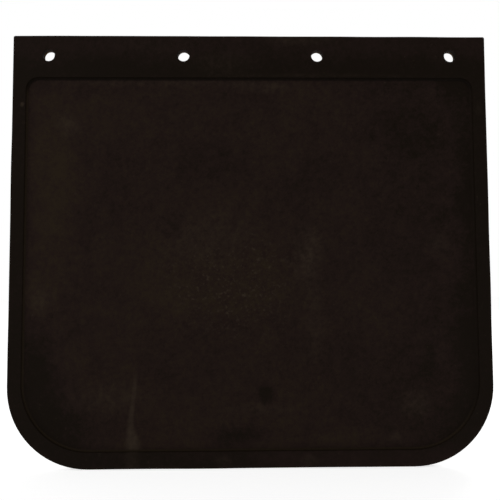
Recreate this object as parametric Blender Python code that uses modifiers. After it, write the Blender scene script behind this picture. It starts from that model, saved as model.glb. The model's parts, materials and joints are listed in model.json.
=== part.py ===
"""Moulded rubber mud flap for a truck or trailer, 20 x 18 inches.

The flap is one moulding of three bonded layers: a rubber front cover with a raised rim and mounting
band round a recessed panel, a woven fabric ply in a pocket behind it, and a flat rubber back cover.
Four bolt holes are punched through all three layers in the mounting band.

The sheet flexes below the band, so each layer is divided by narrow flex gaps into the mounting band
and eight panel strips. Neighbouring strips turn about hinge lines in the middle of the rim's thickness.

Frame: metres, +Z up, +X to the right seen from the front. The front face looks towards -Y and the
flat back face lies at y = 0. The origin is the middle of the bolt-hole line on the back face.
"""

import math

import bmesh
import bpy

INCH = 0.0254

# Overall size.
WIDTH = 20 * INCH
HEIGHT = 18 * INCH
RIM_THICKNESS = 0.375 * INCH
PANEL_THICKNESS = 0.25 * INCH
BOTTOM_CORNER_RADIUS = 0.085
TOP_CORNER_RADIUS = 0.002
FRONT_EDGE_ROUNDING = 0.0012

# Recessed panel: widths of the raised border round it.
SIDE_RIM = 0.0148
BOTTOM_RIM = 0.0178
BAND_HEIGHT = 0.0455
RECESS_TOP_RADIUS = 0.013
RECESS_BOTTOM_RADIUS = BOTTOM_CORNER_RADIUS - SIDE_RIM
RECESS_FILLET = 0.0028

# Bolt holes in the band.
HOLE_COUNT = 4
HOLE_DIAMETER = 0.5 * INCH
HOLE_SIDE_MARGIN = 1.5 * INCH
HOLE_PITCH = (WIDTH - 2 * HOLE_SIDE_MARGIN) / (HOLE_COUNT - 1)
HOLE_LINE_BELOW_TOP = 0.0215

# Layers, counted from the back face.
GAP = 0.0003
BACK_COVER_THICKNESS = 0.0022
PLY_THICKNESS = 0.0010
PLY_SETBACK = 0.006

# Flex lines: where the sheet bends, as depths below its top edge.
FIRST_FLEX_LINE = 0.070
STRIP_COUNT = 8
STRIP_HEIGHT = (HEIGHT - FIRST_FLEX_LINE) / STRIP_COUNT
FLEX_GAP = 0.0012
HINGE_Y = -RIM_THICKNESS / 2

# Faceting of round outlines.
CORNER_SEGMENTS = 16
HOLE_SEGMENTS = 32
ROUNDING_SEGMENTS = 2
FILLET_SEGMENTS = 3
CUT_MARGIN = 0.005
WELD_DISTANCE = 0.00001

TOP_Z = HOLE_LINE_BELOW_TOP
BOTTOM_Z = TOP_Z - HEIGHT

RUBBER_FRONT = ("front_cover_rubber", (0.020, 0.017, 0.014, 1.0), 0.72)
PLY_FABRIC = ("ply_fabric", (0.300, 0.190, 0.110, 1.0), 0.95)
RUBBER_BACK = ("back_cover_rubber", (0.018, 0.016, 0.014, 1.0), 0.80)


def clear_scene():
    for item in list(bpy.data.objects):
        bpy.data.objects.remove(item)


def new_collection(name):
    collection = bpy.data.collections.new(name)
    bpy.context.scene.collection.children.link(collection)
    return collection


def new_material(name, colour, roughness):
    material = bpy.data.materials.new(name)
    material.use_nodes = True
    shader = material.node_tree.nodes["Principled BSDF"]
    shader.inputs["Base Color"].default_value = colour
    shader.inputs["Roughness"].default_value = roughness
    shader.inputs["Metallic"].default_value = 0.0
    return material


def arc(centre_x, centre_z, radius, start_degrees):
    """Points of a quarter circle, counter-clockwise from start_degrees."""
    points = []
    for step in range(CORNER_SEGMENTS + 1):
        angle = math.radians(start_degrees + 90 * step / CORNER_SEGMENTS)
        points.append((centre_x + radius * math.cos(angle), centre_z + radius * math.sin(angle)))
    return points


def flap_outline(side_inset, top_inset, bottom_inset, top_radius, bottom_radius):
    """Rectangle with round corners, set in from the flap's edges, as (x, z) points."""
    right = WIDTH / 2 - side_inset
    top = TOP_Z - top_inset
    bottom = BOTTOM_Z + bottom_inset
    return (
        arc(right - top_radius, top - top_radius, top_radius, 0)
        + arc(top_radius - right, top - top_radius, top_radius, 90)
        + arc(bottom_radius - right, bottom + bottom_radius, bottom_radius, 180)
        + arc(right - bottom_radius, bottom + bottom_radius, bottom_radius, 270)
    )


def plate_mesh(name, outline, front_y, back_y):
    """Mesh of an upright plate: an outline in the XZ plane, filled and given its thickness along Y."""
    curve = bpy.data.curves.new(name, "CURVE")
    curve.dimensions = "2D"
    curve.fill_mode = "BOTH"
    curve.extrude = (back_y - front_y) / 2
    spline = curve.splines.new("POLY")
    spline.points.add(len(outline) - 1)
    for point, (x, z) in zip(spline.points, outline):
        point.co = (x, z, 0, 1)
    spline.use_cyclic_u = True
    guide = bpy.data.objects.new(name, curve)
    guide.location.y = (front_y + back_y) / 2
    guide.rotation_euler.x = math.radians(90)
    bpy.context.scene.collection.objects.link(guide)
    bpy.context.view_layer.update()
    graph = bpy.context.evaluated_depsgraph_get()
    mesh = bpy.data.meshes.new_from_object(guide.evaluated_get(graph))
    mesh.transform(guide.matrix_world)
    bpy.data.objects.remove(guide)
    shape = bmesh.new()
    shape.from_mesh(mesh)
    bmesh.ops.remove_doubles(shape, verts=shape.verts, dist=WELD_DISTANCE)
    bmesh.ops.dissolve_limit(
        shape, angle_limit=math.radians(0.5), verts=shape.verts, edges=shape.edges
    )
    bmesh.ops.recalc_face_normals(shape, faces=shape.faces)
    shape.to_mesh(mesh)
    shape.free()
    mesh.name = name
    return mesh


def mark_edges_at(mesh, y):
    """Gives the edges that lie in the plane at y a bevel weight, so that only they are rounded."""
    weights = mesh.attributes.new("bevel_weight_edge", "FLOAT", "EDGE")
    for edge in mesh.edges:
        on_plane = all(abs(mesh.vertices[i].co.y - y) < WELD_DISTANCE for i in edge.vertices)
        weights.data[edge.index].value = 1.0 if on_plane else 0.0


def add_boolean(target, cutter, operation):
    modifier = target.modifiers.new(cutter.name, "BOOLEAN")
    modifier.operation = operation
    modifier.solver = "EXACT"
    modifier.object = cutter


def add_rounding(target, width, segments, limit):
    modifier = target.modifiers.new("rounding", "BEVEL")
    modifier.width = width
    modifier.segments = segments
    modifier.limit_method = limit
    modifier.angle_limit = math.radians(45)


def add_cutter(collection, name, mesh):
    cutter = bpy.data.objects.new(name, mesh)
    cutter.hide_render = True
    cutter.display_type = "WIRE"
    collection.objects.link(cutter)
    return cutter


def make_recess_cutter(collection):
    """Clears the front of the panel. Its rounded inner edge leaves a fillet at the foot of the rim."""
    outline = flap_outline(
        SIDE_RIM, BAND_HEIGHT, BOTTOM_RIM, RECESS_TOP_RADIUS, RECESS_BOTTOM_RADIUS
    )
    front_y = -RIM_THICKNESS - CUT_MARGIN
    cutter = add_cutter(
        collection, "panel_recess", plate_mesh("panel_recess", outline, front_y, -PANEL_THICKNESS)
    )
    add_rounding(cutter, RECESS_FILLET, FILLET_SEGMENTS, "ANGLE")
    return cutter


def make_pocket_cutter(collection, ply_front_y):
    """Clears room for the fabric ply in the back of the front cover."""
    inset = PLY_SETBACK - GAP
    outline = flap_outline(inset, inset, inset, TOP_CORNER_RADIUS, BOTTOM_CORNER_RADIUS - inset)
    mesh = plate_mesh("ply_pocket", outline, ply_front_y - GAP, CUT_MARGIN)
    return add_cutter(collection, "ply_pocket", mesh)


def make_hole_cutters(collection):
    """Cylinders along Y through the whole thickness, one for each bolt hole."""
    cutters = []
    for number in range(HOLE_COUNT):
        shape = bmesh.new()
        bmesh.ops.create_cone(
            shape,
            cap_ends=True,
            segments=HOLE_SEGMENTS,
            radius1=HOLE_DIAMETER / 2,
            radius2=HOLE_DIAMETER / 2,
            depth=RIM_THICKNESS + 2 * CUT_MARGIN,
        )
        name = f"bolt_hole_{number + 1}"
        mesh = bpy.data.meshes.new(name)
        shape.to_mesh(mesh)
        shape.free()
        hole = add_cutter(collection, name, mesh)
        hole.rotation_euler.x = math.radians(90)
        hole.location = ((number - (HOLE_COUNT - 1) / 2) * HOLE_PITCH, -RIM_THICKNESS / 2, 0)
        cutters.append(hole)
    return cutters


def make_region(collection, name, top_depth, bottom_depth):
    """A box over the whole width and thickness, between two depths below the top edge."""
    height = bottom_depth - top_depth
    shape = bmesh.new()
    bmesh.ops.create_cube(shape, size=1.0)
    size = (WIDTH + 2 * CUT_MARGIN, RIM_THICKNESS + 2 * CUT_MARGIN, height)
    bmesh.ops.scale(shape, vec=size, verts=shape.verts)
    middle = (0, -RIM_THICKNESS / 2, TOP_Z - top_depth - height / 2)
    bmesh.ops.translate(shape, vec=middle, verts=shape.verts)
    mesh = bpy.data.meshes.new(name)
    shape.to_mesh(mesh)
    shape.free()
    return add_cutter(collection, name, mesh)


def make_hinge(collection, name, depth):
    """An empty on a strip's hinge line."""
    hinge = bpy.data.objects.new(name, None)
    hinge.location = (0, HINGE_Y, TOP_Z - depth)
    hinge.empty_display_size = 0.05
    collection.objects.link(hinge)
    return hinge


def add_piece(collection, name, mesh, region, hinge):
    """One piece of a layer: the layer's sheet, cut to its region and carried by its hinge."""
    piece = bpy.data.objects.new(name, mesh)
    collection.objects.link(piece)
    if hinge is not None:
        piece.parent = hinge
        piece.matrix_parent_inverse = hinge.matrix_world.inverted()
    if mesh.attributes.get("bevel_weight_edge"):
        add_rounding(piece, FRONT_EDGE_ROUNDING, ROUNDING_SEGMENTS, "WEIGHT")
    add_boolean(piece, region, "INTERSECT")
    return piece


def layer_meshes(ply_back_y, ply_front_y):
    """The three full sheets, before they are cut."""
    edge = flap_outline(0, 0, 0, TOP_CORNER_RADIUS, BOTTOM_CORNER_RADIUS)
    ply_edge = flap_outline(
        PLY_SETBACK,
        PLY_SETBACK,
        PLY_SETBACK,
        TOP_CORNER_RADIUS,
        BOTTOM_CORNER_RADIUS - PLY_SETBACK,
    )
    front = plate_mesh("front_cover_sheet", edge, -RIM_THICKNESS, -BACK_COVER_THICKNESS - GAP)
    mark_edges_at(front, -RIM_THICKNESS)
    ply = plate_mesh("fabric_ply_sheet", ply_edge, ply_front_y, ply_back_y)
    back = plate_mesh("back_cover_sheet", edge, -BACK_COVER_THICKNESS, 0)
    mark_edges_at(back, 0)
    front.materials.append(new_material(*RUBBER_FRONT))
    ply.materials.append(new_material(*PLY_FABRIC))
    back.materials.append(new_material(*RUBBER_BACK))
    return front, ply, back


def main():
    clear_scene()
    flap = new_collection("mud_flap")
    cutters = new_collection("cutters")
    ply_back_y = -BACK_COVER_THICKNESS - GAP
    ply_front_y = ply_back_y - PLY_THICKNESS
    front, ply, back = layer_meshes(ply_back_y, ply_front_y)
    recess = make_recess_cutter(cutters)
    pocket = make_pocket_cutter(cutters, ply_front_y)
    holes = make_hole_cutters(cutters)
    flex_lines = [FIRST_FLEX_LINE + number * STRIP_HEIGHT for number in range(STRIP_COUNT)]
    strip_tops = [-CUT_MARGIN] + [line + FLEX_GAP / 2 for line in flex_lines]
    strip_bottoms = [line - FLEX_GAP / 2 for line in flex_lines] + [HEIGHT + CUT_MARGIN]
    names = ["band"] + [f"strip_{number + 1}" for number in range(STRIP_COUNT)]
    for number, (name, top, bottom) in enumerate(zip(names, strip_tops, strip_bottoms)):
        region = make_region(cutters, f"{name}_region", top, bottom)
        hinge = None
        if number:
            hinge = make_hinge(flap, f"{name}_hinge", flex_lines[number - 1])
            bpy.context.view_layer.update()
        front_cover = add_piece(flap, f"{name}_front_cover", front, region, hinge)
        add_boolean(front_cover, recess, "DIFFERENCE")
        add_boolean(front_cover, pocket, "DIFFERENCE")
        fabric_ply = add_piece(flap, f"{name}_fabric_ply", ply, region, hinge)
        back_cover = add_piece(flap, f"{name}_back_cover", back, region, hinge)
        if name == "band":
            for layer in (front_cover, fabric_ply, back_cover):
                for hole in holes:
                    add_boolean(layer, hole, "DIFFERENCE")


main()
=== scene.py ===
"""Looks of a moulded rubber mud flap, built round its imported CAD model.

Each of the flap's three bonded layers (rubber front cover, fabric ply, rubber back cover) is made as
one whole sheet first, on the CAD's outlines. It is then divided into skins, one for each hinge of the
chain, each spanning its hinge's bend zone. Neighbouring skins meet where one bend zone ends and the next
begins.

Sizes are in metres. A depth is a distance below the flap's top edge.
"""

import json
import math

import bmesh
import bpy
from mathutils import Euler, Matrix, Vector, noise

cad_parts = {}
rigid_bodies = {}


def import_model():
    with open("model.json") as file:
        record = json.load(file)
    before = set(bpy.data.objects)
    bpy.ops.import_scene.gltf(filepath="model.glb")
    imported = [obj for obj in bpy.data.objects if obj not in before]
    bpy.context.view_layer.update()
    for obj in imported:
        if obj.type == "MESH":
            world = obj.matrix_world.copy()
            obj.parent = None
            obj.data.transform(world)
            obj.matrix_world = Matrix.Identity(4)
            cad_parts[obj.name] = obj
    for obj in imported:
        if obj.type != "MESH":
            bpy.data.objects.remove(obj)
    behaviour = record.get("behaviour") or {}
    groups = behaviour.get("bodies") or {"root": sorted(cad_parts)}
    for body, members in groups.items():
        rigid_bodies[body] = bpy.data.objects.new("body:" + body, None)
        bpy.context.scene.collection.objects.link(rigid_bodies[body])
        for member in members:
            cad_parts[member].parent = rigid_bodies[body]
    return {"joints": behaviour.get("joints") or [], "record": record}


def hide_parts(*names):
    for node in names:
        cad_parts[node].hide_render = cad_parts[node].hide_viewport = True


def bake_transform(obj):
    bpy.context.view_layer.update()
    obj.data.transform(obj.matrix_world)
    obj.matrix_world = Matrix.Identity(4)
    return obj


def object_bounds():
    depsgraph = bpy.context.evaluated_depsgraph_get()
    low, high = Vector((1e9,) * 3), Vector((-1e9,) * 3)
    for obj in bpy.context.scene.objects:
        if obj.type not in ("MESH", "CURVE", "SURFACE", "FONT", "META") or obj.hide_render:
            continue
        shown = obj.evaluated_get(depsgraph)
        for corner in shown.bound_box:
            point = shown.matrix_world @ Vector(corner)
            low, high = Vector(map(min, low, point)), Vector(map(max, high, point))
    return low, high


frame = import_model()
CAD_LOW, CAD_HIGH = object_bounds()
BODY_NODES = frame["record"]["behaviour"]["bodies"]

# The flap's box, from the CAD model. The front face looks towards -Y.
HALF_WIDTH = (CAD_HIGH.x - CAD_LOW.x) / 2
TOP_Z = CAD_HIGH.z
BOTTOM_Z = CAD_LOW.z
FRONT_Y = CAD_LOW.y
BACK_Y = CAD_HIGH.y

# The CAD model's outlines.
BOTTOM_CORNER_RADIUS = 0.085
TOP_CORNER_RADIUS = 0.002
SIDE_RIM = 0.0148
BOTTOM_RIM = 0.0178
BAND_HEIGHT = 0.0455
RECESS_TOP_RADIUS = 0.013
RECESS_BOTTOM_RADIUS = BOTTOM_CORNER_RADIUS - SIDE_RIM
RECESS_FILLET = 0.0028
RECESS_TOP_Z = TOP_Z - BAND_HEIGHT
RECESS_BOTTOM_Z = BOTTOM_Z + BOTTOM_RIM
PANEL_FRONT_Y = -0.00635
HOLE_COUNT = 4
HOLE_RADIUS = 0.00635
HOLE_SIDE_MARGIN = 0.0381
HOLE_PITCH = 2 * (HALF_WIDTH - HOLE_SIDE_MARGIN) / (HOLE_COUNT - 1)
PLY_SETBACK = 0.006

# The layers' faces.
SEAM = 0.0001
BACK_COVER_Y = -0.0022
PLY_BACK_Y = BACK_COVER_Y - SEAM
PLY_FRONT_Y = PLY_BACK_Y - 0.0010
POCKET_Y = PLY_FRONT_Y - SEAM

# Fine shape.
EDGE_ROUNDING = 0.0012
LIP_ROUNDING = 0.0008
SEAM_CHAMFER = 0.00025
ROUNDING_SEGMENTS = 4
SHARP_EDGE = math.radians(45)
SMOOTH_BELOW = math.radians(40)
CORNER_STEPS = 18
SMALL_CORNER_RADIUS = 0.005
SMALL_CORNER_STEPS = 6
HOLE_SEGMENTS = 48
ROW_HEIGHT = 0.005
COLUMN_WIDTH = 0.010
CUT_MARGIN = 0.005
ON_PLANE = 0.00002
WELD_DISTANCE = ON_PLANE / 2
CUT_TOLERANCE = ON_PLANE / 10

# How far an old sheet is from flat and straight. Everything stays inside the CAD model's box.
PANEL_WAVE = 0.0006
PANEL_WAVE_LENGTH = 0.160
PANEL_WAVE_FADE = 0.040
PANEL_WAVE_SEED = 3.1
EDGE_WANDER = 0.0004
EDGE_WANDER_LENGTH = 0.060
EDGE_WANDER_REACH = 0.012
SIDE_WANDER_SEED = 7.7
TOP_WANDER_SEED = 5.2
BOTTOM_WANDER_SEED = 9.4
TOP_WANDER_ROW = 1
BOTTOM_WANDER_ROW = 2

REST_POSITION = "rest_position"


# ---------------------------------------------------------------- shapes


def arc(centre_x, centre_z, radius, start_degrees):
    """Points of a quarter circle, counter-clockwise from start_degrees."""
    steps = CORNER_STEPS if radius > SMALL_CORNER_RADIUS else SMALL_CORNER_STEPS
    points = []
    for step in range(steps + 1):
        angle = math.radians(start_degrees + 90 * step / steps)
        points.append((centre_x + radius * math.cos(angle), centre_z + radius * math.sin(angle)))
    return points


def flap_outline(side_inset, top_inset, bottom_inset, top_radius, bottom_radius):
    """Rectangle with round corners, set in from the flap's edges, as (x, z) points."""
    right = HALF_WIDTH - side_inset
    top = TOP_Z - top_inset
    bottom = BOTTOM_Z + bottom_inset
    return (
        arc(right - top_radius, top - top_radius, top_radius, 0)
        + arc(top_radius - right, top - top_radius, top_radius, 90)
        + arc(bottom_radius - right, bottom + bottom_radius, bottom_radius, 180)
        + arc(right - bottom_radius, bottom + bottom_radius, bottom_radius, 270)
    )


def inset_outline(inset):
    """The flap's own outline, set in evenly, with its small top corners kept."""
    return flap_outline(inset, inset, inset, TOP_CORNER_RADIUS, BOTTOM_CORNER_RADIUS - inset)


def plate(outline, front_y, back_y):
    """Upright plate: an outline in the XZ plane, given its thickness along Y."""
    shape = bmesh.new()
    corners = [shape.verts.new((x, front_y, z)) for x, z in outline]
    face = shape.faces.new(corners)
    extruded = bmesh.ops.extrude_face_region(shape, geom=[face])["geom"]
    moved = [item for item in extruded if isinstance(item, bmesh.types.BMVert)]
    bmesh.ops.translate(shape, vec=(0, back_y - front_y, 0), verts=moved)
    bmesh.ops.recalc_face_normals(shape, faces=shape.faces)
    return shape


def round_edges_at(shape, y, width, segments=ROUNDING_SEGMENTS):
    """Rounds the sharp edges that lie in the plane at y."""
    edges = []
    for edge in shape.edges:
        on_plane = all(abs(vert.co.y - y) < ON_PLANE for vert in edge.verts)
        if on_plane and edge.is_manifold and edge.calc_face_angle() > SHARP_EDGE:
            edges.append(edge)
    bmesh.ops.bevel(
        shape, geom=edges, offset=width, segments=segments, profile=0.5, affect="EDGES"
    )


def bolt_hole(number):
    """Cylinder along Y through the whole thickness."""
    shape = bmesh.new()
    bmesh.ops.create_cone(
        shape,
        cap_ends=True,
        segments=HOLE_SEGMENTS,
        radius1=HOLE_RADIUS,
        radius2=HOLE_RADIUS,
        depth=BACK_Y - FRONT_Y + 2 * CUT_MARGIN,
    )
    turn = Euler((math.radians(90), 0, 0)).to_matrix()
    bmesh.ops.rotate(shape, matrix=turn, verts=shape.verts)
    x = (number - (HOLE_COUNT - 1) / 2) * HOLE_PITCH
    bmesh.ops.translate(shape, vec=(x, (FRONT_Y + BACK_Y) / 2, 0), verts=shape.verts)
    return shape


def bolt_holes():
    return [bolt_hole(number) for number in range(HOLE_COUNT)]


def as_object(name, shape):
    mesh = bpy.data.meshes.new(name)
    shape.to_mesh(mesh)
    shape.free()
    item = bpy.data.objects.new(name, mesh)
    bpy.context.scene.collection.objects.link(item)
    return item


def carve(shape, cutters):
    """The shape with every cutter taken out of it. The cutters are used up."""
    target = as_object("carved", shape)
    tools = [as_object("cutter", cutter) for cutter in cutters]
    for tool in tools:
        modifier = target.modifiers.new("cut", "BOOLEAN")
        modifier.operation = "DIFFERENCE"
        modifier.solver = "EXACT"
        modifier.object = tool
    bpy.context.view_layer.update()
    graph = bpy.context.evaluated_depsgraph_get()
    result = bmesh.new()
    result.from_object(target, graph)
    for item in [target] + tools:
        mesh = item.data
        bpy.data.objects.remove(item)
        bpy.data.meshes.remove(mesh)
    bmesh.ops.remove_doubles(result, verts=result.verts, dist=WELD_DISTANCE)
    return result


def front_cover_sheet():
    """Rim and band standing proud of the recessed panel, with a pocket behind for the ply."""
    sheet = plate(inset_outline(0), FRONT_Y, PLY_BACK_Y)
    round_edges_at(sheet, FRONT_Y, EDGE_ROUNDING)
    round_edges_at(sheet, PLY_BACK_Y, SEAM_CHAMFER, segments=1)
    opening = flap_outline(
        SIDE_RIM, BAND_HEIGHT, BOTTOM_RIM, RECESS_TOP_RADIUS, RECESS_BOTTOM_RADIUS
    )
    recess = plate(opening, FRONT_Y - CUT_MARGIN, PANEL_FRONT_Y)
    round_edges_at(recess, PANEL_FRONT_Y, RECESS_FILLET)
    pocket = plate(inset_outline(PLY_SETBACK - SEAM), POCKET_Y, CUT_MARGIN)
    sheet = carve(sheet, [recess, pocket] + bolt_holes())
    round_edges_at(sheet, FRONT_Y, LIP_ROUNDING)
    return sheet


def fabric_ply_sheet():
    return carve(plate(inset_outline(PLY_SETBACK), PLY_FRONT_Y, PLY_BACK_Y), bolt_holes())


def back_cover_sheet():
    sheet = plate(inset_outline(0), BACK_COVER_Y, BACK_Y)
    round_edges_at(sheet, BACK_COVER_Y, SEAM_CHAMFER, segments=1)
    round_edges_at(sheet, BACK_Y, EDGE_ROUNDING)
    sheet = carve(sheet, bolt_holes())
    round_edges_at(sheet, BACK_Y, LIP_ROUNDING)
    return sheet


# ---------------------------------------------------------------- skins


def cut_plane(shape, point, normal, **clear):
    geometry = list(shape.verts) + list(shape.edges) + list(shape.faces)
    return bmesh.ops.bisect_plane(
        shape, geom=geometry, dist=CUT_TOLERANCE, plane_co=point, plane_no=normal, **clear
    )


def trim(shape, z, keep_above):
    """Cuts the shape at a level, closes the cut and drops what lies on the other side."""
    cut = cut_plane(shape, (0, 0, z), (0, 0, 1), clear_inner=keep_above, clear_outer=not keep_above)
    edges = [item for item in cut["geom_cut"] if isinstance(item, bmesh.types.BMEdge)]
    bmesh.ops.edgenet_fill(shape, edges=edges)


def add_rows_and_columns(shape, top, bottom):
    """Divides the faces, so that they can bend and follow a wavy surface."""
    rows = round((top - bottom) / ROW_HEIGHT)
    for row in range(1, rows):
        level = top + (bottom - top) * row / rows
        cut_plane(shape, (0, 0, level), (0, 0, 1))
    columns = round(2 * HALF_WIDTH / COLUMN_WIDTH)
    for column in range(1, columns):
        x = HALF_WIDTH * (2 * column / columns - 1)
        cut_plane(shape, (x, 0, 0), (1, 0, 0))


def smooth_step(value):
    value = min(1.0, max(0.0, value))
    return value * value * (3 - 2 * value)


def ripple(position, length, seed):
    """Slow noise from 0 to 1."""
    sample = Vector((position[0] / length, position[1] / length, seed))
    return min(1.0, max(0.0, 0.5 + noise.noise(sample)))


def panel_distance(x, z):
    """How far inside the recessed panel a point is, along the sheet. Less than 0 on the rim and band."""
    middle = (RECESS_TOP_Z + RECESS_BOTTOM_Z) / 2
    radius = RECESS_TOP_RADIUS if z > middle else RECESS_BOTTOM_RADIUS
    across = abs(x) - (HALF_WIDTH - SIDE_RIM) + radius
    down = abs(z - middle) - (RECESS_TOP_Z - RECESS_BOTTOM_Z) / 2 + radius
    outside = math.hypot(max(across, 0), max(down, 0))
    return radius - outside - min(max(across, down), 0)


def edge_step(distance, place, seed):
    """How far a point has moved in from a wandering edge, which is at the given distance from it."""
    near = smooth_step(1 - distance / EDGE_WANDER_REACH)
    return EDGE_WANDER * near * ripple(place, EDGE_WANDER_LENGTH, seed)


def age(co):
    """Where a point of the new, flat sheet lies on the used one."""
    fade = smooth_step(panel_distance(co.x, co.z) / PANEL_WAVE_FADE)
    forward = PANEL_WAVE * fade * ripple((co.x, co.z), PANEL_WAVE_LENGTH, PANEL_WAVE_SEED)
    side = math.copysign(1, co.x)
    side_step = edge_step(HALF_WIDTH - abs(co.x), (side, co.z), SIDE_WANDER_SEED)
    top_step = edge_step(TOP_Z - co.z, (co.x, TOP_WANDER_ROW), TOP_WANDER_SEED)
    bottom_step = edge_step(co.z - BOTTOM_Z, (co.x, BOTTOM_WANDER_ROW), BOTTOM_WANDER_SEED)
    return Vector((co.x - side * side_step, co.y - forward, co.z - top_step + bottom_step))


def store_rest_position(mesh):
    """Keeps each point's place at rest, so that a material stays put on the sheet as it bends."""
    attribute = mesh.attributes.new(REST_POSITION, "FLOAT_VECTOR", "POINT")
    for vert in mesh.vertices:
        attribute.data[vert.index].vector = vert.co


def make_skin(name, sheet, top, bottom):
    """The part of a sheet between two levels, aged and ready to bend."""
    shape = sheet.copy()
    if top < TOP_Z:
        trim(shape, top, keep_above=False)
    if bottom > BOTTOM_Z:
        trim(shape, bottom, keep_above=True)
    add_rows_and_columns(shape, top, bottom)
    for vert in shape.verts:
        vert.co = age(vert.co)
    skin = as_object(name, shape)
    store_rest_position(skin.data)
    skin.data.shade_smooth()
    skin.data.set_sharp_from_angle(angle=SMOOTH_BELOW)
    normals = skin.modifiers.new("flat_faces_stay_flat", "WEIGHTED_NORMAL")
    normals.keep_sharp = True
    return skin


def bend_zones():
    """For each hinge from the top down: its two bodies, and the levels where its bend starts and ends."""
    zones = []
    joints = sorted(frame["joints"], key=lambda joint: -joint["pos_m"][2])
    levels = [joint["pos_m"][2] for joint in joints]
    reach = (levels[0] - levels[1]) / 2
    for joint, level in zip(joints, levels):
        zones.append((joint["parent"], joint["child"], level + reach, level - reach))
    return zones


def make_layer(layer, sheet, material):
    """One layer's skins. Each stands for the CAD nodes of the two bodies that it joins."""
    zones = bend_zones()
    tops = [TOP_Z] + [start for _, _, start, _ in zones[1:]]
    bottoms = tops[1:] + [BOTTOM_Z]
    for number, (parent, child, start, end) in enumerate(zones):
        skin = make_skin(f"{layer}_bend_{number + 1}", sheet, tops[number], bottoms[number])
        skin.data.materials.append(material)
        nodes = [node for body in (parent, child) for node in BODY_NODES[body] if node.endswith(layer)]
        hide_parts(*nodes)
        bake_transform(skin)
    sheet.free()


# ---------------------------------------------------------------- materials


def linear(red, green, blue):
    """Colour as it is seen on screen, 0 to 255, as the linear values that shaders use."""
    values = []
    for value in (red, green, blue):
        share = value / 255
        values.append(share / 12.92 if share <= 0.04045 else ((share + 0.055) / 1.055) ** 2.4)
    return (*values, 1.0)


CLEAN_RUBBER = linear(18.9, 14.0, 9.0)
DULL_RUBBER = linear(29.5, 20.6, 18)
# Dusty rubber; also the colour of painted light on the wall round the panel.
DUSTY_AND_LIT_RUBBER = linear(36.5, 29, 20.5)
# Pale dust; also the colour of painted highlights along the band's lip.
PALE_DUST_AND_HIGHLIGHT = linear(53, 44.5, 35)
# Painted shade: the colour of the crease under the band.
PAINTED_CREASE_SHADE = linear(4, 3, 2)
CORD_DARK = linear(52, 38, 24)
CORD_PALE = linear(104, 80, 54)
CORD_DIRT = linear(40, 30, 20)
SHINE = 0.022

# Noises: size of the lumps, detail, roughness of the detail, seed.
RAGGED_ACROSS = (0.022, 4.0, 0.60, 8.0)
RAGGED_DOWN = (0.022, 4.0, 0.60, 8.5)
FRONT_NOISES = {
    "clouds": (0.075, 3.0, 0.55, 1.0),
    "patches": (0.016, 4.0, 0.65, 2.0),
    "mottle": (0.0050, 3.0, 0.65, 5.0),
    "grit": (0.0017, 2.0, 0.70, 3.0),
    "specks": (0.0030, 2.0, 0.50, 4.0),
}
BACK_NOISES = {
    "clouds": (0.080, 4.0, 0.55, 11.0),
    "patches": (0.016, 4.0, 0.60, 12.0),
    "grit": (0.0022, 3.0, 0.70, 13.0),
    "drops": (0.0060, 2.0, 0.50, 15.0),
}
BACK_RUNS = (0.010, 3.0, 0.55, 14.0)
RUNS_STRETCH = (1.0, 1.0, 0.08)
CORD_FLUFF = (0.0006, 3.0, 0.55, 6.0)

# Marks have ragged outlines, which wander by a share of the mark's size.
RAGGED_REACH = 0.018
RAGGED_SHARE = 0.7


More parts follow.
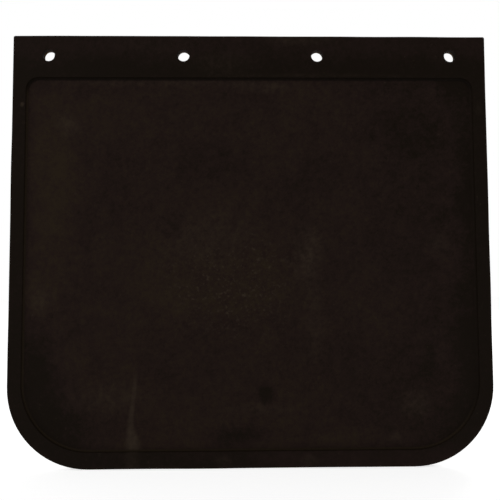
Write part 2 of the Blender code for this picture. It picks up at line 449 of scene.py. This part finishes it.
class Finish:
    """A material's node tree, with a short call for each kind of node that the looks are made of."""

    def __init__(self, name):
        self.material = bpy.data.materials.new(name)
        self.material.use_nodes = True
        self.tree = self.material.node_tree
        self.shader = self.tree.nodes["Principled BSDF"]
        place = self.tree.nodes.new("ShaderNodeAttribute")
        place.attribute_name = REST_POSITION
        self.place = place.outputs["Vector"]
        split = self.tree.nodes.new("ShaderNodeSeparateXYZ")
        self.tree.links.new(self.place, split.inputs[0])
        self.x = split.outputs["X"]
        self.z = split.outputs["Z"]
        self.wander_x = self.centred(self.grain(*RAGGED_ACROSS))
        self.wander_z = self.centred(self.grain(*RAGGED_DOWN))

    def feed(self, socket, value):
        if isinstance(value, bpy.types.NodeSocket):
            self.tree.links.new(value, socket)
        else:
            socket.default_value = value

    def calc(self, operation, *values, clamp=False):
        node = self.tree.nodes.new("ShaderNodeMath")
        node.operation = operation
        node.use_clamp = clamp
        for number, value in enumerate(values):
            self.feed(node.inputs[number], value)
        return node.outputs[0]

    def plus(self, first, second):
        return self.calc("ADD", first, second)

    def minus(self, first, second):
        return self.calc("SUBTRACT", first, second)

    def times(self, first, second, clamp=False):
        return self.calc("MULTIPLY", first, second, clamp=clamp)

    def scaled(self, value, gain, offset, clamp=False):
        """value * gain + offset."""
        return self.calc("MULTIPLY_ADD", value, gain, offset, clamp=clamp)

    def larger(self, first, second, clamp=False):
        return self.calc("MAXIMUM", first, second, clamp=clamp)

    def size_of(self, value):
        """The value without its sign."""
        return self.calc("ABSOLUTE", value)

    def length(self, across, down):
        """Length of a line from its two sides."""
        return self.calc("SQRT", self.plus(self.times(across, across), self.times(down, down)))

    def ramp(self, value, low, high):
        """0 below low and 1 above high, smooth between. With low above high it falls instead."""
        node = self.tree.nodes.new("ShaderNodeMapRange")
        node.interpolation_type = "SMOOTHSTEP"
        self.feed(node.inputs["Value"], value)
        falls = low > high
        node.inputs["From Min"].default_value = high if falls else low
        node.inputs["From Max"].default_value = low if falls else high
        node.inputs["To Min"].default_value = 1.0 if falls else 0.0
        node.inputs["To Max"].default_value = 0.0 if falls else 1.0
        return node.outputs["Result"]

    def stretched(self, factors):
        node = self.tree.nodes.new("ShaderNodeVectorMath")
        node.operation = "MULTIPLY"
        self.feed(node.inputs[0], self.place)
        node.inputs[1].default_value = factors
        return node.outputs["Vector"]

    def grain(self, size, detail, roughness, seed, stretch=(1, 1, 1)):
        """Noise from 0 to 1, with lumps of about the given size."""
        node = self.tree.nodes.new("ShaderNodeTexNoise")
        node.noise_dimensions = "4D"
        self.feed(node.inputs["Vector"], self.stretched(stretch))
        node.inputs["W"].default_value = seed
        node.inputs["Scale"].default_value = 1 / size
        node.inputs["Detail"].default_value = detail
        node.inputs["Roughness"].default_value = roughness
        return node.outputs["Fac"]

    def grains(self, noises):
        return {name: self.grain(*values) for name, values in noises.items()}

    def centred(self, noise_value):
        """Noise that runs from -0.5 to 0.5."""
        return self.minus(noise_value, 0.5)

    def uneven(self, noises, gains, start=0.0):
        """Adds up noises, each centred on 0 and scaled by its gain."""
        total = start
        for name, gain in gains.items():
            total = self.scaled(self.centred(noises[name]), gain, total)
        return total

    def wave(self, along, length):
        """Sine wave along X or Z."""
        return self.calc("SINE", self.times(along, math.tau / length))

    def spot(self, x, depth, half_width, half_height, core=0.0):
        """1 within the core of a ragged ellipse on the sheet, and 0 outside it. The core is a share of
        the ellipse's size."""
        reach = 2 * min(RAGGED_REACH, RAGGED_SHARE * min(half_width, half_height))
        ragged_x = self.scaled(self.wander_x, reach, self.x)
        ragged_z = self.scaled(self.wander_z, reach, self.z)
        across = self.calc("DIVIDE", self.minus(ragged_x, x), half_width)
        down = self.calc("DIVIDE", self.minus(ragged_z, TOP_Z - depth), half_height)
        return self.ramp(self.length(across, down), 1.0, core)

    def outline_distance(self, half_width, top, bottom, top_radius, bottom_radius):
        """Distance from a rectangle with round corners, less than 0 inside it."""
        middle = (top + bottom) / 2
        upper = self.calc("GREATER_THAN", self.z, middle)
        radius = self.scaled(upper, top_radius - bottom_radius, bottom_radius)
        across = self.plus(self.minus(self.size_of(self.x), half_width), radius)
        off_middle = self.size_of(self.minus(self.z, middle))
        down = self.plus(self.minus(off_middle, (top - bottom) / 2), radius)
        outside = self.length(self.larger(across, 0.0), self.larger(down, 0.0))
        inside = self.calc("MINIMUM", self.larger(across, down), 0.0)
        return self.minus(self.plus(outside, inside), radius)

    def hole_distance(self):
        """Distance from the middle of the nearest bolt hole. The holes are half a pitch to each side
        of a point one pitch from the middle of the band."""
        off_pair = self.size_of(self.minus(self.size_of(self.x), HOLE_PITCH))
        return self.length(self.minus(off_pair, HOLE_PITCH / 2), self.z)

    def colour_mix(self, factor, first, second):
        node = self.tree.nodes.new("ShaderNodeMix")
        node.data_type = "RGBA"
        self.feed(node.inputs["Factor"], factor)
        self.feed(node.inputs["A"], first)
        self.feed(node.inputs["B"], second)
        return node.outputs["Result"]

    def bump(self, height, distance, strength, normal=None):
        node = self.tree.nodes.new("ShaderNodeBump")
        self.feed(node.inputs["Height"], height)
        node.inputs["Distance"].default_value = distance
        node.inputs["Strength"].default_value = strength
        if normal is not None:
            self.feed(node.inputs["Normal"], normal)
        return node.outputs["Normal"]

    def finish(self, colour, roughness, normal):
        self.feed(self.shader.inputs["Base Color"], colour)
        self.feed(self.shader.inputs["Roughness"], roughness)
        self.feed(self.shader.inputs["Specular IOR Level"], SHINE)
        self.feed(self.shader.inputs["Normal"], normal)
        return self.material


# Marks of use on the front, and two painted highlight lines: x, depth, half width, half height, strength.
# A dust mark whose strength is below 0 takes dust away.
PALE_MARKS_AND_HIGHLIGHTS = (
    (0.061, 0.236, 0.019, 0.050, 0.50),
    (0.066, 0.310, 0.018, 0.060, 0.20),
    (0.015, 0.055, 0.050, 0.010, 0.25),
    # Painted highlights: this row and the next are thin pale lines along the band's lip and along the
    # panel just under the crease.
    (0.060, 0.0432, 0.190, 0.0030, 0.12),
    (-0.090, 0.051, 0.170, 0.006, 0.22),
    (0.050, 0.004, 0.055, 0.010, 0.30),
    (-0.110, 0.010, 0.060, 0.012, 0.10),
    (-0.030, 0.030, 0.060, 0.018, 0.14),
    (0.172, 0.394, 0.020, 0.022, 0.45),
    (0.150, 0.428, 0.012, 0.010, 0.35),
    (-0.150, 0.385, 0.060, 0.022, 0.22),
    (-0.194, 0.097, 0.020, 0.018, 0.45),
    (-0.222, 0.283, 0.018, 0.022, 0.30),
    (-0.045, 0.218, 0.070, 0.050, 0.22),
    (0.010, 0.397, 0.050, 0.010, 0.25),
    (0.200, 0.225, 0.020, 0.018, 0.20),
    (0.245, 0.080, 0.006, 0.012, 0.20),
    (0.060, 0.449, 0.012, 0.008, 0.30),
    (-0.030, 0.449, 0.014, 0.008, 0.25),
)
DUST_MARKS = (
    (-0.215, 0.175, 0.045, 0.140, 0.30),
    (-0.170, 0.085, 0.090, 0.050, 0.17),
    (-0.060, 0.270, 0.150, 0.090, 0.14),
    (0.020, 0.270, 0.100, 0.090, 0.10),
    (0.016, 0.381, 0.014, 0.015, -0.80),
    (0.186, 0.345, 0.014, 0.034, -0.30),
    (-0.225, 0.370, 0.040, 0.080, -0.60),
    (-0.205, 0.420, 0.055, 0.045, -0.50),
    (0.232, 0.340, 0.034, 0.110, -0.50),
    (0.215, 0.420, 0.050, 0.040, -0.35),
    (0.170, 0.110, 0.070, 0.050, -0.30),
    (0.225, 0.055, 0.035, 0.040, -0.45),
    (0.234, 0.160, 0.026, 0.130, -0.45),
    (-0.045, 0.135, 0.080, 0.040, -0.20),
    (-0.012, 0.424, 0.060, 0.014, -0.40),
    (-0.085, 0.205, 0.022, 0.028, -0.25),
    (0.110, 0.430, 0.080, 0.018, 0.30),
)

# Two marks with a core instead of a strength: x, depth, half width, half height, core.
PEBBLE_SCAR = (-0.018, 0.266, 0.105, 0.080, 0.25)
RIM_CHIP = (-0.243, 0.075, 0.0028, 0.0038, 0.3)
PEBBLE_STRENGTH = 0.60
CHIP_STRENGTH = 0.45

# Where pale marks show, as levels of the noises.
BROKEN_MOTTLE = (0.35, 0.70)
BROKEN_PATCHES = (0.20, 0.60)
BROKEN_GAIN = 0.80
BROKEN_FLOOR = 0.25
PEBBLE_SPECKS = (0.54, 0.74)
STRAY_SPECKS = (0.66, 0.80)
STRAY_STRENGTH = 0.35

# Dust on the front runs from 0, bare, to 1, thick. On the panel it thins towards the right, which is also
# painted shade away from the key light, and towards the edges. The band and the bottom rim carry a
# little, and the side rims hardly any.
FRONT_DUST_GAINS = {"clouds": 0.62, "patches": 0.80, "mottle": 1.00, "grit": 0.95}
PANEL_DUST = 0.50
RIGHT_SIDE = (0.02, 0.22)
RIGHT_SIDE_DUST_AND_SHADE = -0.12
PANEL_DUST_EDGE = (-0.0008, -0.0026)
THINNING_EDGE = (-0.003, -0.014)
EDGE_FULLNESS = 0.88
BAND_RISE = (RECESS_TOP_Z + 0.006, TOP_Z - 0.012)
BAND_DUST = 0.27
FOOT_RISE = (BOTTOM_Z + 0.030, BOTTOM_Z + 0.010)
FOOT_TO_RIGHT = (-0.12, 0.10)
FOOT_DUST_LEFT = 0.05
FOOT_DUST_GAIN = 0.27
RIM_DUST = 0.01
RIM_UNEVENNESS = 0.60
DULL_FROM = (-0.10, 0.55)
DUSTY_FROM = (0.35, 1.05)

# The wall and crease round the panel, as distances from the recess's outline, less than 0 inside it.
LIP_EDGE = (0.0004, -0.0006)
WALL_FOOT = (-0.0026, -0.0008)
CREASE_FOOT = (-0.0036, -0.0020)

# Where the crease is painted black as shade under the band, and where dust and painted light go on the
# wall, as places along Z and X.
UNDER_BAND = (RECESS_TOP_Z - 0.020, RECESS_TOP_Z - 0.004)
ABOVE_FOOT = (RECESS_BOTTOM_Z + 0.060, RECESS_BOTTOM_Z + 0.006)
LEFT_SIDE = (-0.180, -0.225)
# Painted light and dust on the wall round the panel: how much is laid on at the foot, where the wall
# faces up, and on the left, where it faces away from the key light.
FOOT_DUST_AND_LIGHT = 0.90
LEFT_DUST_AND_LIGHT = 0.70
# Painted shade in the crease under the band: how dark it gets.
CREASE_SHADE_STRENGTH = 0.52

# Paler rubber where the flap's outer edge is worn, in patches.
WORN_EDGE = (-0.0030, -0.0004)
WORN_PATCHES = (0.40, 0.70)
WORN_STRENGTH = 0.5

# Roughness: how much dust adds, and what bare rubber has. The ply has no dust.
FRONT_ROUGHNESS = (0.30, 0.58)
BACK_ROUGHNESS = (0.25, 0.62)
PLY_ROUGHNESS = 0.95

# A dried run of pale mud, low on the left. Its top and foot are depths.
STREAK_X = -0.1245
STREAK_TOP = 0.350
STREAK_FOOT = 0.4380
STREAK_LEAN = 0.0035
STREAK_FADE_IN = 0.030
STREAK_FOOT_HEIGHT = 0.034
STREAK_HALF_WIDTH = 0.0020
STREAK_WIDENING = 0.0010
STREAK_FOOT_WIDENING = 0.0040
STREAK_FOOT_SHIFT = 0.0045
STREAK_SOFT_EDGE = (1.5, 0.3)
STREAK_END = (STREAK_FOOT + 0.0022, STREAK_FOOT - 0.0010)
STREAK_ON_RIM = 0.2
STREAK_STRENGTH = 0.42
STREAK_FOOT_STRENGTH = 0.30
STREAK_BROKEN_GAIN = 0.55
STREAK_BROKEN_FLOOR = 0.50

# Bumps: how far they stand up, and strength.
PATCH_BUMP = (0.0006, 0.25)
MOTTLE_BUMP = (0.0003, 0.30)
GRIT_BUMP = (0.0003, 0.35)
CORD_BUMP = (0.0003, 0.6)
PRINT_BUMP = (0.0001, 0.3)


def front_dust_and_shade(look, noises, recess):
    """How dusty the front is, from 0 to 1, with painted shade as thinner dust towards the right of the
    panel.
    """
    uneven = look.uneven(noises, FRONT_DUST_GAINS)
    dust = look.plus(uneven, PANEL_DUST)
    # Painted shade and thinner dust: the panel darkens towards the right, away from the key light.
    dust = look.scaled(look.ramp(look.x, *RIGHT_SIDE), RIGHT_SIDE_DUST_AND_SHADE, dust)
    for *place, strength in DUST_MARKS:
        dust = look.scaled(look.spot(*place), strength, dust)
    thinning = look.scaled(look.ramp(recess, *THINNING_EDGE), 1 - EDGE_FULLNESS, EDGE_FULLNESS)
    panel_dust = look.times(look.times(dust, thinning), look.ramp(recess, *PANEL_DUST_EDGE))

    foot_dust = look.scaled(look.ramp(look.x, *FOOT_TO_RIGHT), FOOT_DUST_GAIN, FOOT_DUST_LEFT)
    rim_level = look.scaled(look.ramp(look.z, *BAND_RISE), BAND_DUST, RIM_DUST)
    rim_level = look.scaled(look.ramp(look.z, *FOOT_RISE), foot_dust, rim_level)
    rim_dust = look.scaled(uneven, RIM_UNEVENNESS, rim_level)
    return look.larger(panel_dust, rim_dust, clamp=True)


def pale_marks_and_highlights(look, noises):
    """Scuffs, smears, specks, the run of mud and two painted highlight lines by the band's lip, broken up
    by the grain of the rubber.
    """
    mottled = look.ramp(noises["mottle"], *BROKEN_MOTTLE)
    patchy = look.ramp(noises["patches"], *BROKEN_PATCHES)
    broken = look.scaled(look.times(mottled, patchy), BROKEN_GAIN, BROKEN_FLOOR)
    pale = 0.0
    for *place, strength in PALE_MARKS_AND_HIGHLIGHTS:
        pale = look.scaled(look.times(look.spot(*place), broken), strength, pale)
    scar = look.times(look.spot(*PEBBLE_SCAR), look.ramp(noises["specks"], *PEBBLE_SPECKS))
    pale = look.scaled(scar, PEBBLE_STRENGTH, pale)
    stray = look.times(look.ramp(noises["specks"], *STRAY_SPECKS), STRAY_STRENGTH)
    pale = look.larger(pale, stray)
    pale = look.larger(pale, streak(look, broken))
    return look.larger(pale, look.times(look.spot(*RIM_CHIP), CHIP_STRENGTH), clamp=True)


def streak(look, broken):
    """The run of mud: thin at its top, and spread to the right at its foot."""
    depth = look.minus(TOP_Z, look.z)
    down = look.ramp(depth, STREAK_TOP, STREAK_FOOT)
    foot = look.ramp(depth, STREAK_FOOT - STREAK_FOOT_HEIGHT, STREAK_FOOT)
    half_width = look.scaled(down, STREAK_WIDENING, STREAK_HALF_WIDTH)
    half_width = look.scaled(foot, STREAK_FOOT_WIDENING, half_width)
    middle = look.scaled(down, -2 * STREAK_LEAN, STREAK_X + STREAK_LEAN)
    middle = look.scaled(foot, STREAK_FOOT_SHIFT, middle)
    off_middle = look.size_of(look.minus(look.x, middle))
    across = look.ramp(look.calc("DIVIDE", off_middle, half_width), *STREAK_SOFT_EDGE)
    over_rim = look.scaled(look.ramp(depth, *STREAK_END), 1 - STREAK_ON_RIM, STREAK_ON_RIM)
    along = look.times(look.ramp(depth, STREAK_TOP, STREAK_TOP + STREAK_FADE_IN), over_rim)
    level = look.scaled(foot, STREAK_FOOT_STRENGTH, STREAK_STRENGTH)
    level = look.times(level, look.scaled(broken, STREAK_BROKEN_GAIN, STREAK_BROKEN_FLOOR))
    return look.times(look.times(across, along), level)


def paint_crease_shade_and_light(look, colour, recess):
    """Dust and painted light on the wall round the panel, low down where it faces up and on the left
    where it faces away from the key light.
    Under the band the crease is painted black as shade."""
    lip = look.ramp(recess, *LIP_EDGE)
    wall = look.times(look.ramp(recess, *WALL_FOOT), lip)
    crease = look.times(look.ramp(recess, *CREASE_FOOT), lip)
    under_band = look.ramp(look.z, *UNDER_BAND)
    at_foot = look.times(look.ramp(look.z, *ABOVE_FOOT), FOOT_DUST_AND_LIGHT)
    on_left = look.times(look.ramp(look.x, *LEFT_SIDE), LEFT_DUST_AND_LIGHT)
    dust_and_painted_light = look.times(look.larger(at_foot, on_left), look.minus(1.0, under_band))
    # Painted light and dust: the wall is lightened at the foot and on the left.
    colour = look.colour_mix(look.times(wall, dust_and_painted_light), colour, DUSTY_AND_LIT_RUBBER)
    # Painted shade: the crease under the band is darkened towards black.
    black = look.times(crease, look.times(under_band, CREASE_SHADE_STRENGTH))
    return look.colour_mix(black, colour, PAINTED_CREASE_SHADE)


def front_rubber():
    """Black rubber, clean on the rim and band, dusty and scuffed on the recessed panel, with painted
    shade in the crease under the band, painted light on the wall round the panel and painted highlights
    along the band's lip.
    """
    look = Finish("front_rubber")
    noises = look.grains(FRONT_NOISES)
    recess = look.outline_distance(
        HALF_WIDTH - SIDE_RIM,
        RECESS_TOP_Z,
        RECESS_BOTTOM_Z,
        RECESS_TOP_RADIUS,
        RECESS_BOTTOM_RADIUS,
    )
    outer = look.outline_distance(
        HALF_WIDTH, TOP_Z, BOTTOM_Z, TOP_CORNER_RADIUS, BOTTOM_CORNER_RADIUS
    )
    dust = front_dust_and_shade(look, noises, recess)
    colour = look.colour_mix(look.ramp(dust, *DULL_FROM), CLEAN_RUBBER, DULL_RUBBER)
    colour = look.colour_mix(look.ramp(dust, *DUSTY_FROM), colour, DUSTY_AND_LIT_RUBBER)
    # Pale marks, with painted highlights along the band's lip.
    colour = look.colour_mix(pale_marks_and_highlights(look, noises), colour, PALE_DUST_AND_HIGHLIGHT)
    # Painted shade in the crease under the band, and painted light with dust on the wall round the panel.
    colour = paint_crease_shade_and_light(look, colour, recess)
    worn = look.times(look.ramp(outer, *WORN_EDGE), look.ramp(noises["patches"], *WORN_PATCHES))
    colour = look.colour_mix(look.times(worn, WORN_STRENGTH), colour, DUSTY_AND_LIT_RUBBER)

    roughness = look.scaled(dust, *FRONT_ROUGHNESS, clamp=True)
    normal = look.bump(noises["patches"], *PATCH_BUMP)
    normal = look.bump(noises["mottle"], *MOTTLE_BUMP, normal)
    normal = look.bump(noises["grit"], *GRIT_BUMP, normal)
    return look.finish(colour, roughness, normal)


CORD_SPACING = 0.0012
CORD_DIRTINESS = 0.5


def ply_fabric():
    """Woven cords, seen edge-on where the bolt holes cut through them."""
    look = Finish("ply_fabric")
    cords = look.size_of(look.wave(look.x, 2 * CORD_SPACING))
    cross = look.size_of(look.wave(look.z, 2 * CORD_SPACING))
    weave = look.larger(cords, cross)
    fluff = look.grain(*CORD_FLUFF)
    colour = look.colour_mix(weave, CORD_DARK, CORD_PALE)
    colour = look.colour_mix(look.times(fluff, CORD_DIRTINESS), colour, CORD_DIRT)
    return look.finish(colour, PLY_ROUGHNESS, look.bump(weave, *CORD_BUMP))


# The back: dust grows downwards from the strip where the hanger lay. The edge of each hole in the
# hanger has left a worn ring, and the cords print through.
HANGER_EDGE = (RECESS_TOP_Z + 0.001, RECESS_TOP_Z - 0.003)
HANGER_EDGE_WANDER = 0.006
BACK_DUST_RISE = (TOP_Z - 0.10, BOTTOM_Z + 0.05)
BACK_DUST_GAINS = {"patches": 0.8, "runs": 0.9, "grit": 0.7}
BACK_DUST_HIGH = 0.20
BACK_DUST_LOW_GAIN = 0.25
BACK_CLOUDS = (0.30, 0.75)
BACK_CLOUD_GAIN = 0.55
DUST_UNDER_HANGER = 0.25
RUN_LEVELS = (0.60, 0.78)
RUN_CLOUDS = (0.40, 0.60)
RUN_STRENGTH = 0.55
SPATTER_DROPS = (0.64, 0.70)
SPATTER_PATCHES = (0.42, 0.58)
MUD_STRENGTH = 0.7
RING_OUTSIDE = (0.0125, 0.0110)
RING_INSIDE = (0.0082, 0.0098)
RING_STRENGTH = 0.6
PRINT_SPACING = 0.004


def back_rubber():
    """Flat matt back: bare where the hanger lay against it, with road dust, runs and spatter below."""
    look = Finish("back_rubber")
    noises = look.grains(BACK_NOISES)
    noises["runs"] = look.grain(*BACK_RUNS, stretch=RUNS_STRETCH)
    wandering_z = look.scaled(look.centred(noises["patches"]), HANGER_EDGE_WANDER, look.z)
    below_hanger = look.ramp(wandering_z, *HANGER_EDGE)
    low = look.ramp(look.z, *BACK_DUST_RISE)

    dust = look.times(look.ramp(noises["clouds"], *BACK_CLOUDS), BACK_CLOUD_GAIN)
    dust = look.uneven(noises, BACK_DUST_GAINS, start=dust)
    dust = look.plus(dust, look.scaled(low, BACK_DUST_LOW_GAIN, BACK_DUST_HIGH))
    share = look.scaled(below_hanger, 1 - DUST_UNDER_HANGER, DUST_UNDER_HANGER)
    dust = look.times(dust, share, clamp=True)
    colour = look.colour_mix(dust, CLEAN_RUBBER, DUSTY_AND_LIT_RUBBER)

    cloudy = look.ramp(noises["clouds"], *RUN_CLOUDS)
    runs = look.times(look.ramp(noises["runs"], *RUN_LEVELS), cloudy)
    patchy = look.ramp(noises["patches"], *SPATTER_PATCHES)
    spatter = look.times(look.ramp(noises["drops"], *SPATTER_DROPS), patchy)
    mud = look.larger(look.times(runs, RUN_STRENGTH), look.times(spatter, low))
    mud = look.times(mud, below_hanger)
    colour = look.colour_mix(look.times(mud, MUD_STRENGTH), colour, PALE_DUST_AND_HIGHLIGHT)

    from_hole = look.hole_distance()
    ring = look.times(look.ramp(from_hole, *RING_OUTSIDE), look.ramp(from_hole, *RING_INSIDE))
    colour = look.colour_mix(look.times(ring, RING_STRENGTH), colour, DUSTY_AND_LIT_RUBBER)

    cords = look.times(look.wave(look.x, PRINT_SPACING), look.wave(look.z, PRINT_SPACING))
    normal = look.bump(cords, *PRINT_BUMP)
    normal = look.bump(noises["patches"], *PATCH_BUMP, normal)
    normal = look.bump(noises["grit"], *GRIT_BUMP, normal)
    roughness = look.scaled(dust, *BACK_ROUGHNESS, clamp=True)
    return look.finish(colour, roughness, normal)


# ---------------------------------------------------------------- stage


FLOOR_SIZE = 12.0
FLOOR_GAP = 0.0002
FLOOR_COLOUR = (0.90, 0.90, 0.90, 1.0)
FLOOR_ROUGHNESS = 0.9
FLOOR_SHINE = 0.1
FLOOR_GLOW = 0.68
WHITE = (1.0, 1.0, 1.0, 1.0)
WORLD_LIGHT = 0.34
WORLD_SEEN = 1.0

# Softboxes: name, location, width, power in watts.
SOFTBOXES = (
    ("key_light", (-1.8, -1.6, 1.0), 1.4, 16),
    ("back_light", (1.0, 1.8, 1.5), 1.6, 20),
)

# The camera is in front of the flap and a little below its middle. It is turned slightly up and to the
# right. The lens and sensor are in millimetres and the turn in degrees.
CAMERA_LENS = 40.75
CAMERA_SENSOR = 36
CAMERA_X = -0.0110
CAMERA_DISTANCE = 0.5961
CAMERA_Z = -0.2421
CAMERA_TURN = (93.13, 0.23, -0.92)


def make_floor():
    shape = bmesh.new()
    bmesh.ops.create_grid(shape, x_segments=1, y_segments=1, size=FLOOR_SIZE / 2)
    floor = as_object("floor", shape)
    floor.location.z = BOTTOM_Z - FLOOR_GAP
    material = bpy.data.materials.new("pale_floor")
    material.use_nodes = True
    shader = material.node_tree.nodes["Principled BSDF"]
    shader.inputs["Base Color"].default_value = FLOOR_COLOUR
    shader.inputs["Roughness"].default_value = FLOOR_ROUGHNESS
    shader.inputs["Specular IOR Level"].default_value = FLOOR_SHINE
    shader.inputs["Emission Color"].default_value = WHITE
    shader.inputs["Emission Strength"].default_value = FLOOR_GLOW
    floor.data.materials.append(material)


def make_world():
    """A white surround for the camera, with a dimmer glow for the light that falls on the flap."""
    world = bpy.data.worlds.new("studio")
    world.use_nodes = True
    bpy.context.scene.world = world
    tree = world.node_tree
    background = tree.nodes["Background"]
    background.inputs["Color"].default_value = WHITE
    path = tree.nodes.new("ShaderNodeLightPath")
    level = tree.nodes.new("ShaderNodeMapRange")
    level.inputs["To Min"].default_value = WORLD_LIGHT
    level.inputs["To Max"].default_value = WORLD_SEEN
    tree.links.new(path.outputs["Is Camera Ray"], level.inputs["Value"])
    tree.links.new(level.outputs["Result"], background.inputs["Strength"])


def add_softbox(name, location, size, power):
    """Large square light that points at the middle of the flap."""
    light = bpy.data.lights.new(name, "AREA")
    light.size = size
    light.energy = power
    lamp = bpy.data.objects.new(name, light)
    lamp.location = location
    middle = Vector((0, 0, (TOP_Z + BOTTOM_Z) / 2))
    lamp.rotation_euler = (middle - lamp.location).to_track_quat("-Z", "Y").to_euler()
    lamp.visible_camera = False
    bpy.context.scene.collection.objects.link(lamp)


def make_camera():
    data = bpy.data.cameras.new("camera")
    data.sensor_width = CAMERA_SENSOR
    data.lens = CAMERA_LENS
    camera = bpy.data.objects.new("camera", data)
    camera.location = (CAMERA_X, FRONT_Y - CAMERA_DISTANCE, CAMERA_Z)
    camera.rotation_euler = [math.radians(angle) for angle in CAMERA_TURN]
    bpy.context.scene.collection.objects.link(camera)
    bpy.context.scene.camera = camera


def main():
    make_camera()
    make_world()
    make_floor()
    for softbox in SOFTBOXES:
        add_softbox(*softbox)
    bpy.context.scene.view_settings.view_transform = "Standard"
    make_layer("front_cover", front_cover_sheet(), front_rubber())
    make_layer("fabric_ply", fabric_ply_sheet(), ply_fabric())
    make_layer("back_cover", back_cover_sheet(), back_rubber())


main()
